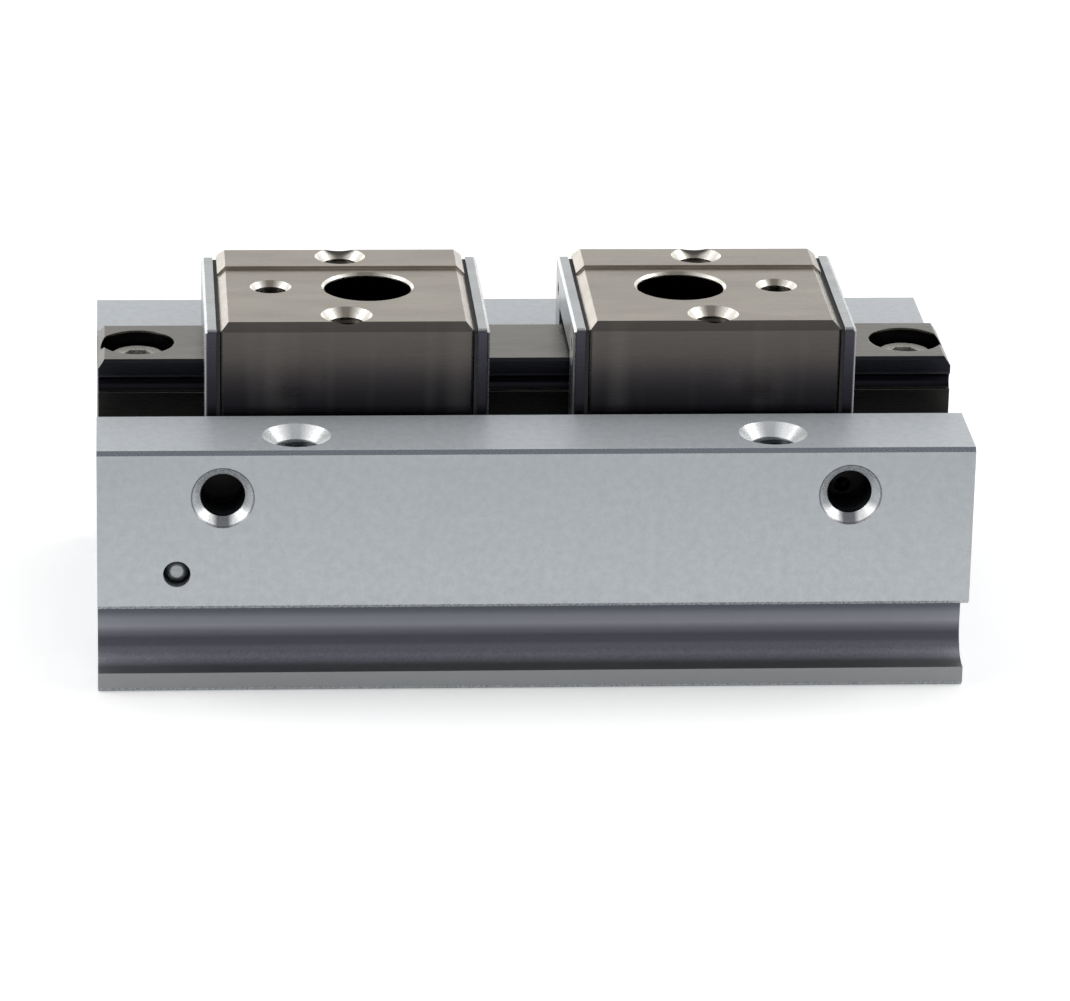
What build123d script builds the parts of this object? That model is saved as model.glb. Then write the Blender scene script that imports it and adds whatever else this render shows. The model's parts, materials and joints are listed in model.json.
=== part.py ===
from build123d import *
import os
from math import pi, radians, sqrt, tan

# Low-profile parallel gripper worked by air, in millimetres. +X runs along the body, +Y away from
# the air ports and +Z up. The origin is the middle of the bottom face. The fingers are drawn closed.
# LEFT and RIGHT name the fingers, and FRONT and REAR the bores. The left finger's piston runs in the
# front bore and the right finger's in the rear bore, so one sign places both.
LEFT, RIGHT = -1, 1
FRONT, REAR = -1, 1
SIDES = {LEFT: "left", RIGHT: "right"}
ROWS = {FRONT: "front", REAR: "rear"}

# Body block
body_length = 82.5
body_width = 45.0
ledge_height = 24.8
overall_height = 33.8
trough_clearance = 0.9
trough_depth = 3.4
body_chamfer = 0.4

# Sensor grooves along the lower front and rear edges
groove_top = 9.0
groove_floor = 1.9
groove_depth = 5.1
groove_round = 3.0
lip_setback = 1.7

# Tapped holes in the ledges, M5
ledge_hole_pitch_x = 45.0
ledge_hole_pitch_y = 36.0
ledge_hole_depth = 6.5
m5_tap_radius = 2.1
m5_rim_radius = 3.25

# Air ports, M5, and the drilled passages behind them
port_from_end = 11.75
port_below_ledge = 4.6
port_depth = 6.0
port_rim_radius = 3.0
passage_radius = 0.75
passage_below_port = 1.2
plug_from_end = 7.45
plug_below_port = 7.6
plug_seat_depth = 3.0
plug_ball_radius = 1.27
plug_ball_sink = 0.3

# Bores
bore_radius = 8.0
bore_web = 1.8
bore_floor_wall = 4.2

# Guide rail and its screws
rail_end_inset = 0.15
rail_width = 10.4
rail_height = 6.5
rail_end_chamfer_x = 0.6
rail_end_chamfer_z = 0.9
rail_edge_chamfer = 0.25
rail_screw_from_end = 3.8
counterbore_radius = 3.55
counterbore_depth = 4.2
screw_radius = 1.5
screw_head_radius = 2.75
screw_head_height = 3.0
screw_socket = 2.5
screw_socket_depth = 1.4
screw_reach = 5.0
rail_hole_clearance = 0.2

# Bearing balls between rail and guide blocks
ball_radius = 0.8
ball_spacing = 0.12
ball_row_margin = 1.7
ball_drop = 2.53
race_clearance = 0.02

# Guide blocks, which are the fingers
finger_x = 17.5
finger_travel = 8.0
block_length = 24.1
block_width = 22.7
block_chamfer = 0.8
strip_rise = 0.3
strip_depth = 5.9
rail_gap = 0.3
floor_gap = 0.5
corner_chamfer = 0.3
finger_tap_from_side = 2.85
finger_tap_depth = 6.5
m4_tap_radius = 1.65
m4_rim_radius = 2.45
dowel_offset = 7.0
dowel_radius = 1.5
dowel_rim_radius = 2.0
dowel_depth = 4.2
access_offset = 2.35
access_radius = 4.2
access_rim = 0.25

# Retainer strips above and below each ball row
retainer_height = 3.8
retainer_thickness = 0.46

# End plates, end seals and their screws
plate_thickness = 1.1
plate_inset = 0.1
plate_corner = 0.3
plate_below_top = 0.6
plate_opening = 0.7
plate_edge_chamfer = 0.25
seal_thickness = 0.35
seal_inset = 0.2
seal_lip_gap = 0.1
plate_screw_from_side = 2.95
plate_screw_below_top = 3.1
plate_screw_radius = 1.0
plate_screw_head_radius = 1.9
plate_screw_length = 5.6
plate_screw_socket = 1.3
plate_screw_socket_depth = 0.7

# Drive pins from the fingers down to the pistons
pin_radius = 1.5
pin_offset = 4.6
pin_into_block = 3.7
pin_below_axis = 5.0
slot_clearance = 0.25

# Rack and pinion
gear_module = 0.5
pinion_teeth = 12
tooth_backlash = 0.1
addendum = 0.4
dedendum = 0.6
pressure_angle = 20
pinion_height = 5.0
pinion_pin_radius = 1.25
running_clearance = 0.05
pocket_radius = 3.9
washer_thickness = 0.4
washer_radius = 2.3

# Pinion cover in the underside
cover_radius = 5.1
cover_bottom = 1.3
cover_thickness = 2.6
cover_boss_radius = 2.4
pin_into_cover = 4.0
pin_into_web = 4.0

# Pistons, measured from the middle of the body with the fingers closed
piston_clearance = 0.1
nose_radius = 6.5
nose_length = 7.6
seal_past_slot = 0.25
slot_side_land = 0.9
far_side_land = 0.6
seal_groove_width = 1.8
seal_groove_depth = 1.5
rack_margin = 1.8
wear_ring_before_seal = 3.5
wear_ring_width = 2.2
wear_ring_thickness = 0.78
wear_ring_gap = 1.0
magnet_before_ring = 5.6
magnet_radius = 2.0
magnet_thickness = 2.5

# End caps with O-ring, snap ring and bumper
cap_gap = 0.6
cap_thickness = 2.8
o_ring_section = 0.55
o_ring_groove_width = 1.3
snap_thickness = 0.8
snap_bite = 0.4
snap_ring_width = 1.5
snap_opening = 4.0
snap_setback = 0.75
snap_ear_radius = 1.15
snap_ear_hole = 0.5
bumper_radius = 4.0
bumper_thickness = 1.2
bumper_proud = 0.3

# Clearances of parts that sit in a hole or groove of another
seat_clearance = 0.02
cap_clearance = 0.05

# Places that follow from the sizes above
half_length = body_length / 2
half_width = body_width / 2
trough_floor = ledge_height - trough_depth
trough_width = block_width + 2 * trough_clearance
bore_y = bore_web / 2 + bore_radius
bore_z = bore_floor_wall + bore_radius
port_x = half_length - port_from_end
plug_x = plug_from_end - half_length
port_z = ledge_height - port_below_ledge
plug_z = port_z - plug_below_port
passage_z = port_z - passage_below_port
rail_length = body_length - 2 * rail_end_inset
rail_top = trough_floor + rail_height
rail_screw_outer_x = rail_length / 2 - rail_screw_from_end
rail_screw_inner_x = finger_x - access_offset
counterbore_floor = rail_top - counterbore_depth
ball_z = rail_top - ball_drop
ball_y = (rail_width + rail_gap) / 2
race_radius = ball_radius + race_clearance
ball_pitch = 2 * ball_radius + ball_spacing
balls_in_a_row = int((block_length - 2 * ball_row_margin) / ball_pitch)
block_bottom = trough_floor + floor_gap
finger_top = overall_height - strip_rise
channel_half = rail_width / 2 + rail_gap
channel_top = rail_top + rail_gap
plate_top = finger_top - plate_below_top
plate_screw_y = block_width / 2 - plate_screw_from_side
plate_screw_z = finger_top - plate_screw_below_top
finger_tap_pitch = block_width - 2 * finger_tap_from_side
pin_x = finger_x - pin_offset
pin_top = block_bottom + pin_into_block
slot_x = pin_x + finger_travel / 2
slot_width = 2 * (pin_radius + slot_clearance)
slot_end = slot_x + (finger_travel + slot_width) / 2
pitch_radius = gear_module * pinion_teeth / 2
tooth_pitch = pi * gear_module
tooth_width = tooth_pitch / 2 - tooth_backlash
rack_tip_y = pitch_radius - addendum
rack_root_y = pitch_radius + dedendum
rack_start = -pocket_radius - rack_margin
rack_end = pocket_radius + finger_travel + rack_margin
piston_radius = bore_radius - piston_clearance
cap_outer = half_length - snap_setback - snap_thickness - 2 * cap_clearance
cap_inner = cap_outer - cap_thickness
stroke_end = cap_inner - cap_gap
slot_seal_x = slot_end + seal_past_slot + seal_groove_width / 2
nose_end = slot_seal_x + seal_groove_width / 2 + slot_side_land
far_nose = stroke_end - nose_length
far_seal_x = far_nose - far_side_land - seal_groove_width / 2
wear_ring_x = far_seal_x - wear_ring_before_seal
magnet_x = wear_ring_x - magnet_before_ring
cap_radius = bore_radius - cap_clearance
cover_top = cover_bottom + cover_thickness
pinion_bottom = bore_z - pinion_height / 2
pinion_top = bore_z + pinion_height / 2
boss_top = pinion_bottom - washer_thickness - 2 * running_clearance
pocket_top = pinion_top + washer_thickness + 2 * running_clearance
web_hole_top = pocket_top + pin_into_web


def save(piece, name):
    piece.part.label = name
    export_step(piece.part, f"parts/{name}.step")


def bore_plane(side, row, distance):
    # A plane across a bore, facing outwards, at a distance from the middle of the body
    return Plane(origin=(side * distance, row * bore_y, bore_z), z_dir=(side, 0, 0))


def ring(plane, outer, inner, thickness, opening=0.0):
    # A flat ring that stands on a plane, with a gap in it when it is a split ring
    with BuildPart() as piece:
        with BuildSketch(plane):
            Circle(outer)
            Circle(inner, mode=Mode.SUBTRACT)
            if opening:
                with Locations((outer, 0)):
                    Rectangle(2 * outer, opening, mode=Mode.SUBTRACT)
        extrude(amount=thickness)
    return piece


def snap_ring(plane, outer):
    # A ring with two ears beside its opening, each with a hole for the pliers
    ear_y = snap_opening / 2 + snap_ear_radius
    ear_x = sqrt((outer - snap_ring_width) ** 2 - ear_y**2)
    with BuildPart() as piece:
        with BuildSketch(plane):
            Circle(outer)
            Circle(outer - snap_ring_width, mode=Mode.SUBTRACT)
            with Locations((outer, 0)):
                Rectangle(2 * outer, snap_opening, mode=Mode.SUBTRACT)
            with Locations((ear_x, -ear_y), (ear_x, ear_y)):
                Circle(snap_ear_radius)
                Circle(snap_ear_hole, mode=Mode.SUBTRACT)
        extrude(amount=snap_thickness)
    return piece


def o_ring(plane, groove_radius):
    # An O-ring that lies in a groove, centred on the plane
    with BuildPart() as piece:
        with Locations(plane):
            Torus(groove_radius + seat_clearance + o_ring_section, o_ring_section)
    return piece


# Body
def body_half_section():
    # Half of the section across the body, from the middle of the bottom to the middle of the trough
    lip_y = half_width - lip_setback
    back_y = half_width - groove_depth
    inner_y = trough_width / 2
    FilletPolyline(
        (lip_y, groove_floor),
        (back_y, groove_floor),
        (back_y, groove_top),
        radius=groove_round,
    )
    Polyline(
        (back_y, groove_top),
        (half_width - body_chamfer, groove_top),
        (half_width, groove_top + body_chamfer),
        (half_width, ledge_height - body_chamfer),
        (half_width - body_chamfer, ledge_height),
        (inner_y + body_chamfer, ledge_height),
        (inner_y, ledge_height - body_chamfer),
        (inner_y, trough_floor),
        (0, trough_floor),
        (0, 0),
        (lip_y - body_chamfer, 0),
        (lip_y, body_chamfer),
        (lip_y, groove_floor),
    )


with BuildPart() as body:
    with BuildSketch(Plane.YZ):
        with BuildLine():
            body_half_section()
        make_face()
        mirror(about=Plane.YZ)
    extrude(amount=half_length, both=True)
    # Bores from end to end, with a snap ring groove at each end
    for row in ROWS:
        with BuildSketch(bore_plane(RIGHT, row, 0)):
            Circle(bore_radius)
        extrude(amount=half_length, both=True, mode=Mode.SUBTRACT)
        for side in SIDES:
            with BuildSketch(bore_plane(side, row, cap_outer)):
                Circle(bore_radius + snap_bite + 2 * cap_clearance)
            extrude(amount=snap_thickness + 2 * cap_clearance, mode=Mode.SUBTRACT)
    # Slots for the drive pins
    with BuildSketch(Plane.XY.offset(bore_z)):
        with Locations((-slot_x, -bore_y), (slot_x, bore_y)):
            SlotOverall(finger_travel + slot_width, slot_width)
    extrude(amount=trough_floor - bore_z, mode=Mode.SUBTRACT)
    # Pinion pocket, cover seat with its snap ring groove, and the blind hole for the pinion pin
    with BuildSketch(Plane.XY):
        Circle(pocket_radius)
    extrude(amount=pocket_top, mode=Mode.SUBTRACT)
    with BuildSketch(Plane.XY):
        Circle(cover_radius + cap_clearance)
    extrude(amount=cover_top, mode=Mode.SUBTRACT)
    with BuildSketch(Plane.XY.offset(cover_bottom)):
        Circle(cover_radius + snap_bite + 2 * cap_clearance)
    extrude(amount=-snap_thickness - cap_clearance, mode=Mode.SUBTRACT)
    with BuildSketch(Plane.XY):
        Circle(pinion_pin_radius + seat_clearance)
    extrude(amount=web_hole_top, mode=Mode.SUBTRACT)
    # Tapped holes in the ledges
    with Locations(Location((0, 0, ledge_height))):
        with GridLocations(ledge_hole_pitch_x, ledge_hole_pitch_y, 2, 2):
            CounterSinkHole(m5_tap_radius, m5_rim_radius, depth=ledge_hole_depth, counter_sink_angle=90)
    # Screw holes under the rail
    with BuildSketch(Plane.XY.offset(trough_floor)):
        for x in (rail_screw_outer_x, rail_screw_inner_x):
            with Locations((-x, 0), (x, 0)):
                Circle(screw_radius + seat_clearance)
    extrude(amount=-screw_reach - 2 * rail_hole_clearance, mode=Mode.SUBTRACT)
    # Air ports. The right one opens straight into its end of the front bore.
    for side in SIDES:
        with Locations(Plane(origin=(side * port_x, -half_width, port_z), z_dir=(0, -1, 0))):
            CounterSinkHole(m5_tap_radius, port_rim_radius, depth=port_depth, counter_sink_angle=90)
    with BuildSketch(Plane(origin=(port_x, -half_width, passage_z), z_dir=(0, 1, 0))):
        Circle(passage_radius)
    extrude(amount=half_width - bore_y, mode=Mode.SUBTRACT)
    # The left one leads along the front wall, down and through the plugged drilling
    wall_y = -half_width + port_depth / 2 + passage_radius
    with BuildSketch(Plane(origin=(-port_x, wall_y, port_z), z_dir=(-1, 0, 0))):
        Circle(passage_radius)
    extrude(amount=-plug_x - port_x + passage_radius, mode=Mode.SUBTRACT)
    with BuildSketch(Plane(origin=(plug_x, wall_y, plug_z))):
        Circle(passage_radius)
    extrude(amount=port_z - plug_z, mode=Mode.SUBTRACT)
    with BuildSketch(Plane(origin=(plug_x, -half_width, plug_z), z_dir=(0, 1, 0))):
        Circle(passage_radius)
    extrude(amount=half_width - bore_y, mode=Mode.SUBTRACT)
    with BuildSketch(Plane(origin=(plug_x, -half_width, plug_z), z_dir=(0, 1, 0))):
        Circle(plug_ball_radius + seat_clearance)
    extrude(amount=plug_seat_depth, mode=Mode.SUBTRACT)
save(body, "body")

with BuildPart() as passage_plug_ball:
    with Locations((plug_x, plug_ball_radius + plug_ball_sink - half_width, plug_z)):
        Sphere(plug_ball_radius)
save(passage_plug_ball, "passage_plug_ball")


# Guide rail
def ball_races():
    # The two round ball tracks, drawn in a section across the rail
    with Locations((-ball_y, ball_z), (ball_y, ball_z)):
        Circle(race_radius, mode=Mode.SUBTRACT)


with BuildPart() as guide_rail:
    with BuildSketch(Plane.YZ) as rail_section:
        with Locations((0, trough_floor + rail_height / 2)):
            Rectangle(rail_width, rail_height)
        chamfer(rail_section.vertices(), rail_edge_chamfer)
        ball_races()
    extrude(amount=rail_length / 2, both=True)
    # Sloping ends of the top face
    with BuildSketch(Plane.XZ):
        for side in SIDES:
            with BuildLine():
                Polyline(
                    (side * (rail_length / 2 - rail_end_chamfer_x), rail_top),
                    (side * rail_length / 2, rail_top - rail_end_chamfer_z),
                    (side * rail_length / 2, rail_top),
                    close=True,
                )
            make_face()
    extrude(amount=rail_width / 2, both=True, mode=Mode.SUBTRACT)
    for x in (rail_screw_outer_x, rail_screw_inner_x):
        with Locations((-x, 0, rail_top), (x, 0, rail_top)):
            CounterBoreHole(screw_radius + rail_hole_clearance, counterbore_radius, counterbore_depth)
save(guide_rail, "guide_rail")

with BuildPart() as rail_screws:
    for x in (-rail_screw_outer_x, -rail_screw_inner_x, rail_screw_inner_x, rail_screw_outer_x):
        with BuildSketch(Plane.XY.offset(trough_floor - screw_reach)):
            with Locations((x, 0)):
                Circle(screw_radius)
        extrude(amount=screw_reach + rail_height - counterbore_depth)
        with BuildSketch(Plane.XY.offset(counterbore_floor)):
            with Locations((x, 0)):
                Circle(screw_head_radius)
        extrude(amount=screw_head_height)
    chamfer(rail_screws.faces().group_by(Axis.Z)[-1].edges(), corner_chamfer)
    with BuildSketch(Plane.XY.offset(counterbore_floor + screw_head_height)):
        for x in (-rail_screw_outer_x, -rail_screw_inner_x, rail_screw_inner_x, rail_screw_outer_x):
            with Locations((x, 0)):
                RegularPolygon(screw_socket / 2, 6, major_radius=False)
    extrude(amount=-screw_socket_depth, mode=Mode.SUBTRACT)
save(rail_screws, "rail_screws")


# End caps of the bores
def bore_cap(side, row):
    with BuildPart() as piece:
        with BuildSketch(bore_plane(side, row, cap_inner)):
            Circle(cap_radius)
        extrude(amount=cap_thickness)
        with BuildSketch(bore_plane(side, row, cap_inner)):
            Circle(bumper_radius + seat_clearance)
        extrude(amount=bumper_thickness - bumper_proud, mode=Mode.SUBTRACT)
        with BuildSketch(bore_plane(side, row, cap_inner + (cap_thickness - o_ring_groove_width) / 2)):
            Circle(cap_radius)
            Circle(o_ring_groove_radius(cap_radius), mode=Mode.SUBTRACT)
        extrude(amount=o_ring_groove_width, mode=Mode.SUBTRACT)
    return piece


def o_ring_groove_radius(part_radius):
    # Bottom of the groove that an O-ring lies in, cut into a part of this radius
    return part_radius - 2 * (o_ring_section + seat_clearance)


def bumper(side, row):
    with BuildPart() as piece:
        with BuildSketch(bore_plane(side, row, cap_inner - bumper_proud)):
            Circle(bumper_radius)
        extrude(amount=bumper_thickness)
    return piece


for side in SIDES:
    for row in ROWS:
        place = f"{ROWS[row]}_{SIDES[side]}"
        save(bore_cap(side, row), f"bore_cap_{place}")
        ring_plane = bore_plane(side, row, cap_inner + cap_thickness / 2)
        save(o_ring(ring_plane, o_ring_groove_radius(cap_radius)), f"cap_o_ring_{place}")
        snap_plane = bore_plane(side, row, cap_outer + cap_clearance)
        save(snap_ring(snap_plane, bore_radius + snap_bite), f"cap_snap_ring_{place}")
        save(bumper(side, row), f"bumper_{place}")

# Pinion cover in the underside, with a boss that carries the pinion
with BuildPart() as pinion_cover:
    with BuildSketch(Plane.XY.offset(cover_bottom)):
        Circle(cover_radius)
    extrude(amount=cover_thickness)
    with BuildSketch(Plane.XY.offset(cover_top)):
        Circle(cover_boss_radius)
    extrude(amount=boss_top - cover_top)
    with BuildSketch(Plane.XY.offset(boss_top)):
        Circle(pinion_pin_radius + seat_clearance)
    extrude(amount=-pin_into_cover, mode=Mode.SUBTRACT)
    with BuildSketch(Plane.XY.offset(cover_bottom + (cover_thickness - o_ring_groove_width) / 2)):
        Circle(cover_radius)
        Circle(o_ring_groove_radius(cover_radius), mode=Mode.SUBTRACT)
    extrude(amount=o_ring_groove_width, mode=Mode.SUBTRACT)
save(pinion_cover, "pinion_cover")

cover_ring_plane = Plane.XY.offset(cover_bottom + cover_thickness / 2)
save(o_ring(cover_ring_plane, o_ring_groove_radius(cover_radius)), "pinion_cover_o_ring")

cover_snap_plane = Plane.XY.offset(cover_bottom - snap_thickness)
save(snap_ring(cover_snap_plane, cover_radius + snap_bite), "pinion_cover_snap_ring")

with BuildPart() as pinion_pin:
    with BuildSketch(Plane.XY.offset(boss_top - pin_into_cover + running_clearance)):
        Circle(pinion_pin_radius)
    extrude(amount=web_hole_top - boss_top + pin_into_cover - 2 * running_clearance)
save(pinion_pin, "pinion_pin")

for name, bottom in (("lower", boss_top), ("upper", pinion_top + running_clearance)):
    washer_plane = Plane.XY.offset(bottom)
    washer_bore = pinion_pin_radius + running_clearance
    save(ring(washer_plane, washer_radius, washer_bore, washer_thickness), f"thrust_washer_{name}")


# Pinion: straight-flanked teeth, one of them pointing at each rack when the fingers are closed
def tooth_outline(root_radius, tip_radius):
    slope = tan(radians(pressure_angle))
    root_half = tooth_width / 2 + (pitch_radius - root_radius) * slope / 2
    tip_half = tooth_width / 2 - (tip_radius - pitch_radius) * slope * 2
    Polyline(
        (-root_half, 0),
        (-root_half, root_radius),
        (-tooth_width / 2, pitch_radius),
        (-tip_half, tip_radius),
        (tip_half, tip_radius),
        (tooth_width / 2, pitch_radius),
        (root_half, root_radius),
        (root_half, 0),
        close=True,
    )


with BuildPart() as pinion:
    with BuildSketch(Plane.XY.offset(pinion_bottom)):
        Circle(pitch_radius - dedendum)
        with PolarLocations(0, pinion_teeth):
            with BuildSketch(mode=Mode.PRIVATE) as tooth:
                with BuildLine():
                    tooth_outline(pitch_radius - dedendum, pitch_radius + addendum)
                make_face()
            add(tooth.sketch)
        Circle(pinion_pin_radius + running_clearance, mode=Mode.SUBTRACT)
    extrude(amount=pinion_height)
save(pinion, "pinion")


# Piston of the left finger, in the front bore, with the rack on its inner side
def rack_gap_outline(x):
    # The space between two rack teeth, drawn from above
    slope = tan(radians(pressure_angle))
    gap_half = (tooth_pitch - tooth_width) / 2
    tip_half = gap_half + addendum * slope
    root_half = gap_half - dedendum * slope
    Polyline(
        (x - tip_half, -rack_tip_y),
        (x - root_half, -rack_root_y),
        (x + root_half, -rack_root_y),
        (x + tip_half, -rack_tip_y),
        close=True,
    )


piston_turnings = (
    (finger_travel - stroke_end, -nose_end, nose_radius),
    (-nose_end, far_nose, piston_radius),
    (far_nose, stroke_end, nose_radius),
)
piston_grooves = (
    (-slot_seal_x, seal_groove_width, seal_groove_depth),
    (far_seal_x, seal_groove_width, seal_groove_depth),
    (wear_ring_x, wear_ring_width + 2 * cap_clearance, wear_ring_thickness + seat_clearance + cap_clearance),
)
first_gap = round(rack_start / tooth_pitch) + 1
last_gap = round(rack_end / tooth_pitch) - 1

with BuildPart() as front_piston:
    for start, end, radius in piston_turnings:
        with BuildSketch(bore_plane(RIGHT, FRONT, start)):
            Circle(radius)
        extrude(amount=end - start)
    for middle, width, depth in piston_grooves:
        with BuildSketch(bore_plane(RIGHT, FRONT, middle - width / 2)):
            Circle(piston_radius)
            Circle(piston_radius - depth, mode=Mode.SUBTRACT)
        extrude(amount=width, mode=Mode.SUBTRACT)
    # The flat that the rack stands on, then the spaces between its teeth
    with BuildSketch(Plane.XY.offset(bore_z)):
        with Locations(((rack_start + rack_end) / 2, -rack_tip_y / 2)):
            Rectangle(rack_end - rack_start, rack_tip_y)
        for number in range(first_gap, last_gap + 1):
            with BuildLine():
                rack_gap_outline(number * tooth_pitch)
            make_face()
    extrude(amount=bore_radius, both=True, mode=Mode.SUBTRACT)
    # Cross hole for the drive pin and pocket for the magnet
    with BuildSketch(Plane.XY.offset(bore_z - pin_below_axis)):
        with Locations((-pin_x, -bore_y)):
            Circle(pin_radius + seat_clearance)
    extrude(amount=2 * bore_radius, mode=Mode.SUBTRACT)
    with BuildSketch(Plane(origin=(magnet_x, -bore_y - bore_radius, bore_z), z_dir=(0, 1, 0))):
        Circle(magnet_radius + seat_clearance)
    extrude(amount=magnet_thickness + bore_radius - nose_radius, mode=Mode.SUBTRACT)


def piston_seals():
    inner = piston_radius - seal_groove_depth + seat_clearance
    outer = bore_radius - cap_clearance
    width = seal_groove_width - 2 * cap_clearance
    with BuildPart() as piece:
        for middle in (-slot_seal_x, far_seal_x):
            with BuildSketch(bore_plane(RIGHT, FRONT, middle - width / 2)):
                Circle(outer)
                Circle(inner, mode=Mode.SUBTRACT)
            extrude(amount=width)
        chamfer(piece.edges().filter_by(GeomType.CIRCLE).sort_by(SortBy.RADIUS)[-4:], corner_chamfer)
    return piece


def magnet():
    inner_y = -bore_y - nose_radius + magnet_thickness
    with BuildPart() as piece:
        with BuildSketch(Plane(origin=(magnet_x, inner_y - cap_clearance, bore_z), z_dir=(0, -1, 0))):
            Circle(magnet_radius)
        extrude(amount=magnet_thickness)
    return piece


wear_plane = bore_plane(RIGHT, FRONT, wear_ring_x - wear_ring_width / 2)
wear_outer = bore_radius - cap_clearance
wear_inner = wear_outer - wear_ring_thickness
piston_pieces = {
    "piston": front_piston,
    "piston_seals": piston_seals(),
    "wear_ring": ring(wear_plane, wear_outer, wear_inner, wear_ring_width, wear_ring_gap),
    "piston_magnet": magnet(),
}
for name, piece in piston_pieces.items():
    save(piece, f"left_{name}")
    # The right finger's piston is the same piece turned end for end in the rear bore
    with BuildPart() as turned:
        add(piece.part, rotation=(0, 0, 180))
    save(turned, f"right_{name}")


# Fingers
def saddle_outline(half, bottom, top, corner, channel_width, channel_height):
    # The outline of what straddles the rail: an upturned U with cut top corners
    Polyline(
        (-half, bottom),
        (-half, top - corner),
        (corner - half, top),
        (half - corner, top),
        (half, top - corner),
        (half, bottom),
        (channel_width, bottom),
        (channel_width, channel_height),
        (-channel_width, channel_height),
        (-channel_width, bottom),
        close=True,
    )


def guide_block(side):
    middle = side * finger_x
    half = block_width / 2
    with BuildPart() as piece:
        with BuildSketch(Plane.YZ.offset(middle)):
            with BuildLine():
                saddle_outline(half, block_bottom, finger_top, block_chamfer, channel_half, channel_top)
            make_face()
            # The raised strip along the rear of the top
            with BuildLine():
                Polyline(
                    (half - strip_depth, finger_top - block_chamfer),
                    (half - strip_depth, overall_height),
                    (half - block_chamfer, overall_height),
                    (half, overall_height - block_chamfer),
                    (half, finger_top - block_chamfer),
                    close=True,
                )
            make_face()
            # Recess for the retainer strips, and the ball tracks
            recess = channel_half + retainer_thickness + 2 * seat_clearance
            with Locations((0, ball_z)):
                Rectangle(2 * recess, retainer_height + 2 * seat_clearance, mode=Mode.SUBTRACT)
            ball_races()
        extrude(amount=block_length / 2, both=True)
        chamfer(outer_upright_edges(piece), corner_chamfer)
        # Chamfer across both ends of the top, and of the raised strip behind it
        strip_front = half - strip_depth
        for top, far, near in ((finger_top, strip_front, -half), (overall_height, half, strip_front)):
            with BuildSketch(Plane.XZ.offset(-far)):
                for end in SIDES:
                    end_x = middle + end * block_length / 2
                    with BuildLine():
                        Polyline(
                            (end_x, top - block_chamfer),
                            (end_x, top + block_chamfer),
                            (end_x - end * 2 * block_chamfer, top + block_chamfer),
                            close=True,
                        )
                    make_face()
            extrude(amount=far - near, mode=Mode.SUBTRACT)
        # Holes in the top, cut from above the raised strip
        inwards = -side
        with Locations((middle, -finger_tap_pitch / 2, finger_top)):
            CounterSinkHole(m4_tap_radius, m4_rim_radius, depth=finger_tap_depth, counter_sink_angle=90)
        with Locations((middle, finger_tap_pitch / 2, overall_height)):
            tap_depth = finger_tap_depth + strip_rise
            CounterSinkHole(m4_tap_radius, m4_rim_radius, depth=tap_depth, counter_sink_angle=90)
        with Locations((middle - inwards * dowel_offset, 0, finger_top)):
            CounterSinkHole(dowel_radius, dowel_rim_radius, depth=dowel_depth, counter_sink_angle=90)
        with Locations((middle + inwards * access_offset, 0, finger_top)):
            rim_radius = access_radius + access_rim
            access_depth = finger_top - channel_top
            CounterSinkHole(access_radius, rim_radius, depth=access_depth, counter_sink_angle=90)
        # Hole for the drive pin in the skirt, and for the end plate screws
        with BuildSketch(Plane.XY.offset(block_bottom)):
            with Locations((side * pin_x, side * bore_y)):
                Circle(pin_radius + seat_clearance)
        extrude(amount=pin_into_block + running_clearance, mode=Mode.SUBTRACT)
        for end in SIDES:
            with BuildSketch(plate_plane(side, end, block_length / 2)):
                plate_screw_places(plate_screw_radius + seat_clearance)
            reach = plate_screw_length - plate_thickness - seal_thickness + running_clearance
            extrude(amount=-reach, mode=Mode.SUBTRACT)
    return piece


def outer_upright_edges(piece):
    # The four upright corner edges of a block
    upright = piece.edges().filter_by(Axis.Z)
    front = upright.filter_by_position(Axis.Y, -block_width / 2, -block_width / 2)
    return front + upright.filter_by_position(Axis.Y, block_width / 2, block_width / 2)


def plate_plane(side, end, distance):
    # A plane across the rail, facing away from the middle of a finger. Its y is up.
    return Plane(origin=(side * finger_x + end * distance, 0, 0), x_dir=(0, end, 0), z_dir=(end, 0, 0))


def plate_screw_places(radius):
    with Locations((-plate_screw_y, plate_screw_z), (plate_screw_y, plate_screw_z)):
        Circle(radius)


def end_plate(side, end):
    with BuildPart() as piece:
        with BuildSketch(plate_plane(side, end, block_length / 2 + seal_thickness)):
            with BuildLine():
                half = block_width / 2 - plate_inset
                bottom = block_bottom + plate_inset
                opening_half = channel_half + plate_opening
                opening_top = channel_top + plate_opening
                saddle_outline(half, bottom, plate_top, plate_corner, opening_half, opening_top)
            make_face()
        extrude(amount=plate_thickness)
        # Break the edges of the face that shows
        chamfer(piece.faces().sort_by(Axis((0, 0, 0), (end, 0, 0)))[-1].edges(), plate_edge_chamfer)
        face = block_length / 2 + seal_thickness + plate_thickness
        for y in (-plate_screw_y, plate_screw_y):
            with Locations(Plane(origin=(side * finger_x + end * face, y, plate_screw_z), z_dir=(end, 0, 0))):
                hole = plate_screw_radius + running_clearance
                CounterSinkHole(hole, plate_screw_head_radius + running_clearance, counter_sink_angle=90)
    return piece


def end_seal(side, end):
    with BuildPart() as piece:
        with BuildSketch(plate_plane(side, end, block_length / 2)):
            with BuildLine():
                half = block_width / 2 - seal_inset
                bottom = block_bottom + seal_inset
                lip_half = rail_width / 2 + seal_lip_gap
                lip_top = rail_top + seal_lip_gap
                saddle_outline(half, bottom, plate_top - seal_inset, plate_corner, lip_half, lip_top)
            make_face()
        extrude(amount=seal_thickness)
        with BuildSketch(plate_plane(side, end, block_length / 2)):
            plate_screw_places(plate_screw_radius + running_clearance)
        extrude(amount=seal_thickness, mode=Mode.SUBTRACT)
    return piece


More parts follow.
